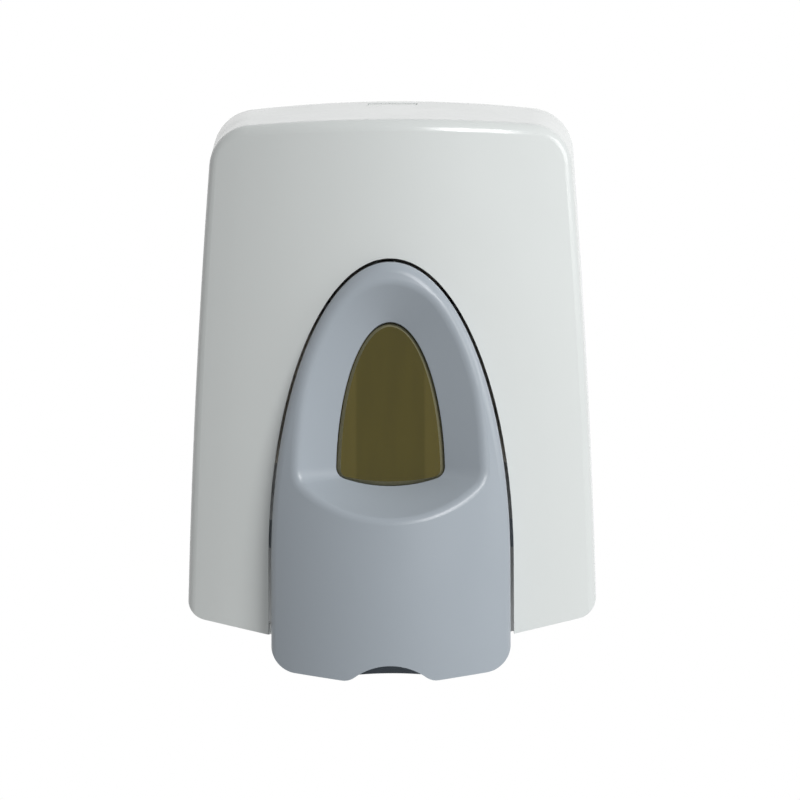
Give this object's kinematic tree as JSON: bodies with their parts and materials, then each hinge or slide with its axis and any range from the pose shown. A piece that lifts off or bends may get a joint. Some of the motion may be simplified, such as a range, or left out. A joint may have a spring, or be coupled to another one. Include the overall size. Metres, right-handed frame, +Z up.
{
  "type": "wall mounted soap dispenser",
  "caption": "Wall mounted soap dispenser: a hinged cover with a scooped push lever and tinted sight window, over a bottle refill with a lying pump, on a screwed back plate",
  "frame": {"origin": "centre of the four wall screw holes, on the wall plane", "axes": "+X right, +Y into the wall, +Z up"},
  "size_m": [0.1194, 0.0994, 0.168],
  "materials": {
    "cover": "satin white moulding",
    "lever": "satin blue-grey moulding",
    "window": "clear olive amber tint",
    "actuator": "dark grey moulding",
    "chassis": "pale grey moulding",
    "latch": "satin white moulding",
    "bottle": "cloudy natural polyethylene",
    "collar": "white moulding",
    "pump": "white moulding",
    "head": "grey moulding",
    "seal": "black rubber",
    "valve": "cloudy silicone",
    "pin": "blackened steel",
    "steel": "bright steel"
  },
  "bodies": {
    "chassis": {"back_plate": "chassis", "latch_retainer": "chassis", "latch_spring": "steel", "cover_hinge_pins": "pin", "refill_cradle": "chassis", "cradle_screws": "steel", "refill_bottle": "bottle", "bottle_collar": "collar", "neck_gasket": "seal", "pump_body": "pump", "inlet_valve": "valve", "pump_gland": "pump", "pump_spring": "steel"},
    "cover": {"front_cover": "cover", "lever_pivot_pin": "pin"},
    "lever": {"push_lever": "lever", "sight_window": "window", "push_actuator": "actuator", "actuator_screws": "steel"},
    "plunger": {"pump_piston": "pump", "piston_seal": "seal", "dispensing_head": "head"},
    "latch": {"latch_button": "latch"}
  },
  "joints": [
    {"name": "cover_hinge", "type": "hinge", "parent": "chassis", "child": "cover", "pos_m": [0, -0.012, -0.0696], "axis": [1, 0, 0], "range_deg": [0, 80]},
    {"name": "lever_pivot", "type": "hinge", "parent": "cover", "child": "lever", "pos_m": [0, -0.06519, 0.017], "axis": [1, 0, 0], "range_deg": [0, 8.5], "stiffness_Nm_per_rad": 3, "springref_deg": -11.46},
    {"name": "pump_slide", "type": "slide", "parent": "chassis", "child": "plunger", "axis": [0, 1, 0], "range_m": [0, 0.01174], "deforming": ["pump_spring"]},
    {"name": "latch_press", "type": "slide", "parent": "chassis", "child": "latch", "axis": [0, 0, -1], "range_m": [0, 0.0035], "stiffness_N_per_m": 800, "springref_m": -0.004, "deforming": ["latch_spring"]}
  ],
  "couplings": [
    {"joint": "pump_slide", "follows": "lever_pivot", "m_per_rad": 0.07913}
  ]
}
